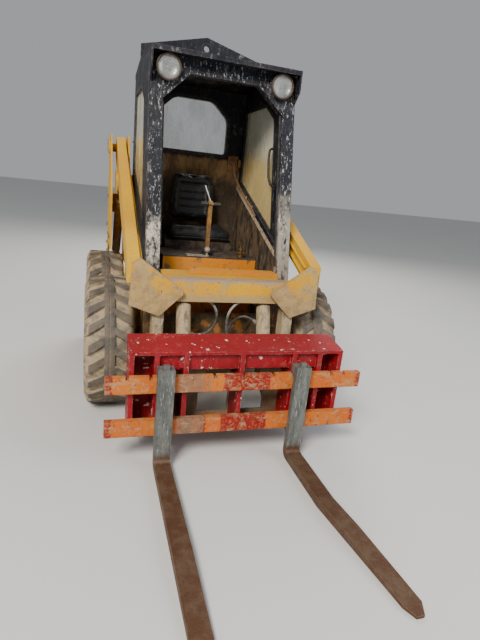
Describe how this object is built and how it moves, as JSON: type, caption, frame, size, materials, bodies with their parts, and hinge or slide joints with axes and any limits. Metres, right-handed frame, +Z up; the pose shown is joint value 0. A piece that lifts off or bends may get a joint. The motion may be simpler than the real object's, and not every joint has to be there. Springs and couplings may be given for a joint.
{
  "type": "skid steer loader with pallet forks",
  "caption": "Compact four-wheel skid steer loader with an open-front cab, rear-pivoted lift arms and a tilting pallet fork carriage.",
  "frame": {"origin": "on the ground, at the middle of the footprint from the fork tips to the rear bumper", "axes": "+Z up, -Y the way the machine drives forward, +X to the right in a view from the front"},
  "size_m": [1.524, 3.405, 2.298],
  "materials": {
    "yellow_paint": "weathered",
    "dusty_yellow_paint": "dusty",
    "orange_paint": "worn",
    "black_paint": "scuffed",
    "red_paint": "scuffed",
    "beige_paint": "dusty",
    "fork_steel": "rusty and scratched",
    "bare_steel": "dull",
    "chrome_rod": "polished",
    "cast_metal": "oily",
    "tyre_rubber": "dusty",
    "black_vinyl": "satin",
    "window_plastic": "milky",
    "window_glass": "clear",
    "lamp_shell": "rusty rim",
    "lamp_glass": "ribbed"
  },
  "bodies": {
    "chassis": {"main_frame": "yellow_paint", "axle_housings": "cast_metal", "cab_front_frame": "black_paint", "cab_side_left": "black_paint", "cab_side_right": "black_paint", "side_windows": "window_plastic", "cab_rear_wall": "black_paint", "rear_window": "window_glass", "cab_roof": "black_paint", "roof_lifting_plate": "black_paint", "work_lamp_housings": "lamp_shell", "work_lamp_lenses": "lamp_glass", "seat_cushion": "black_vinyl", "seat_backrest": "black_vinyl", "seat_base": "orange_paint", "control_lever": "bare_steel", "door_step": "orange_paint", "engine_block": "cast_metal", "rear_corner_posts": "yellow_paint", "rear_bumper": "yellow_paint", "rear_towers": "yellow_paint"},
    "hood": {"engine_hood": "yellow_paint"},
    "engine_door": {"rear_door": "black_paint"},
    "arms": {"lift_arms": "yellow_paint", "arm_cross_member": "dusty_yellow_paint", "arm_front_plates": "dusty_yellow_paint", "arm_legs": "beige_paint", "hydraulic_pipes": "bare_steel"},
    "tilt_cylinder_barrels": {"tilt_barrels": "beige_paint"},
    "tilt_cylinder_rods": {"tilt_rods": "chrome_rod"},
    "lift_cylinder_barrels": {"lift_barrels": "beige_paint"},
    "lift_cylinder_rods": {"lift_rods": "chrome_rod"},
    "coupler": {"coupler_frame": "beige_paint", "fork_frame": "red_paint", "carriage_bars": "orange_paint", "fork_left": "fork_steel", "fork_right": "fork_steel"},
    "wheel_front_left": {"tyre_front_left": "tyre_rubber", "rim_front_left": "yellow_paint"},
    "wheel_front_right": {"tyre_front_right": "tyre_rubber", "rim_front_right": "yellow_paint"},
    "wheel_rear_left": {"tyre_rear_left": "tyre_rubber", "rim_rear_left": "yellow_paint"},
    "wheel_rear_right": {"tyre_rear_right": "tyre_rubber", "rim_rear_right": "yellow_paint"}
  },
  "joints": [
    {"name": "lift", "type": "hinge", "parent": "chassis", "child": "arms", "pos_m": [0, 1.3025, 1.55], "axis": [-1, 0, 0], "range_deg": [0, 75]},
    {"name": "tilt", "type": "hinge", "parent": "arms", "child": "coupler", "pos_m": [0, -0.2475, 0.23], "axis": [1, 0, 0], "range_deg": [-20, 45]},
    {"name": "tilt_barrel_swing", "type": "hinge", "parent": "arms", "child": "tilt_cylinder_barrels", "pos_m": [0, -0.1925, 0.775], "axis": [1, 0, 0], "range_deg": [-7, 3.2]},
    {"name": "tilt_rod_slide", "type": "slide", "parent": "tilt_cylinder_barrels", "child": "tilt_cylinder_rods", "axis": [0, -0.282, -0.9594], "range_m": [-0.0395, 0.0885]},
    {"name": "lift_barrel_swing", "type": "hinge", "parent": "chassis", "child": "lift_cylinder_barrels", "pos_m": [0, 1.4725, 0.68], "axis": [1, 0, 0], "range_deg": [-14.6, 0]},
    {"name": "lift_rod_slide", "type": "slide", "parent": "lift_cylinder_barrels", "child": "lift_cylinder_rods", "axis": [0, -0.6469, 0.7626], "range_m": [0, 0.4495]},
    {"name": "hood_lift", "type": "hinge", "parent": "chassis", "child": "hood", "pos_m": [0, 1.1585, 1.374], "axis": [1, 0, 0], "range_deg": [0, 60]},
    {"name": "engine_door_swing", "type": "hinge", "parent": "chassis", "child": "engine_door", "pos_m": [-0.364, 1.6385, 0.85], "axis": [0, 0, 1], "range_deg": [0, 110]},
    {"name": "wheel_front_left_roll", "type": "hinge", "parent": "chassis", "child": "wheel_front_left", "pos_m": [-0.6265, 0.1325, 0.387], "axis": [1, 0, 0], "continuous": true},
    {"name": "wheel_front_right_roll", "type": "hinge", "parent": "chassis", "child": "wheel_front_right", "pos_m": [0.6265, 0.1325, 0.387], "axis": [1, 0, 0], "continuous": true},
    {"name": "wheel_rear_left_roll", "type": "hinge", "parent": "chassis", "child": "wheel_rear_left", "pos_m": [-0.6265, 1.0725, 0.387], "axis": [1, 0, 0], "continuous": true},
    {"name": "wheel_rear_right_roll", "type": "hinge", "parent": "chassis", "child": "wheel_rear_right", "pos_m": [0.6265, 1.0725, 0.387], "axis": [1, 0, 0], "continuous": true}
  ],
  "couplings": [
    {"joint": "tilt_barrel_swing", "follows": "tilt", "ratio": -0.155},
    {"joint": "tilt_rod_slide", "follows": "tilt", "m_per_rad": 0.112},
    {"joint": "lift_barrel_swing", "follows": "lift", "ratio": -0.1936},
    {"joint": "lift_rod_slide", "follows": "lift", "m_per_rad": 0.3425},
    {"joint": "wheel_rear_left_roll", "follows": "wheel_front_left_roll", "ratio": 1},
    {"joint": "wheel_rear_right_roll", "follows": "wheel_front_right_roll", "ratio": 1}
  ]
}
